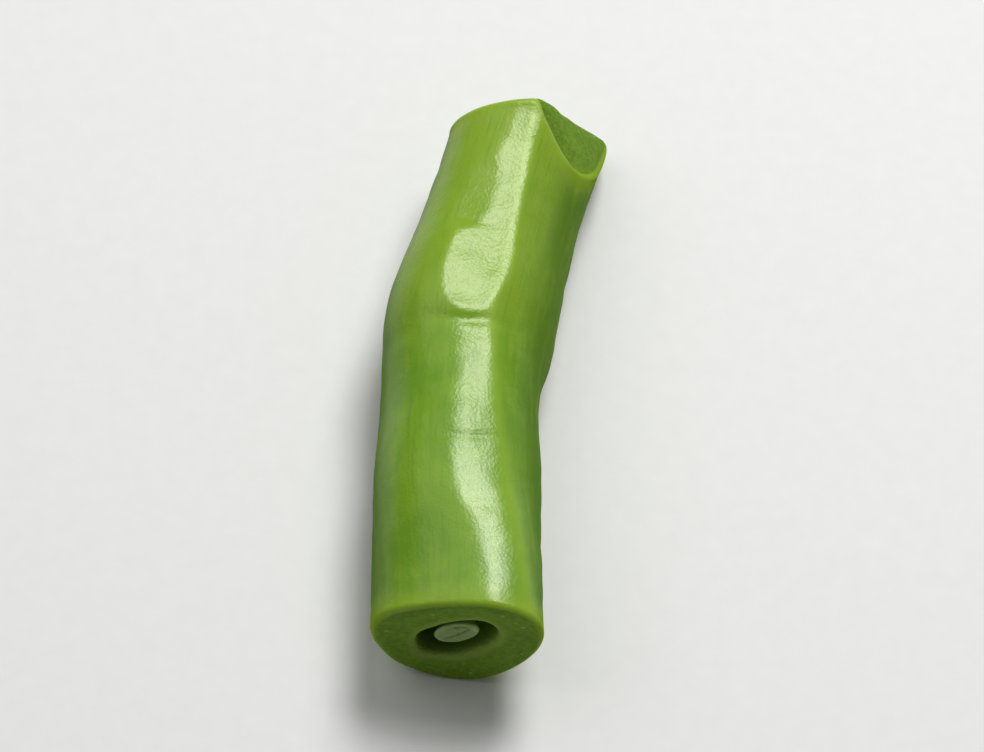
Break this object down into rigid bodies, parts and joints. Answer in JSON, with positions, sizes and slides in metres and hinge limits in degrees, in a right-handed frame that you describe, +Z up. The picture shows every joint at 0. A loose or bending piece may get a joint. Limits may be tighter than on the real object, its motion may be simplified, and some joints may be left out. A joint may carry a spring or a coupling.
{
  "type": "cut green bean",
  "caption": "Cut length of green bean pod lying on its side, gently bent and swollen over its seeds, with a knife-cut seed chamber and the rest of a seed at the near end.",
  "frame": {"origin": "on the surface that the bean lies on, under the middle of its bounding box", "axes": "+Z up; +Y along the bean, from the near cut with the seed towards the far cut; the bean bends towards +X"},
  "size_m": [0.0134, 0.0342, 0.0093],
  "materials": {
    "pod": "waxy wet green skin, paler flesh on the cuts",
    "seed": "moist pale green"
  },
  "bodies": {
    "root": {"pod": "pod", "seed": "seed"}
  },
  "joints": []
}
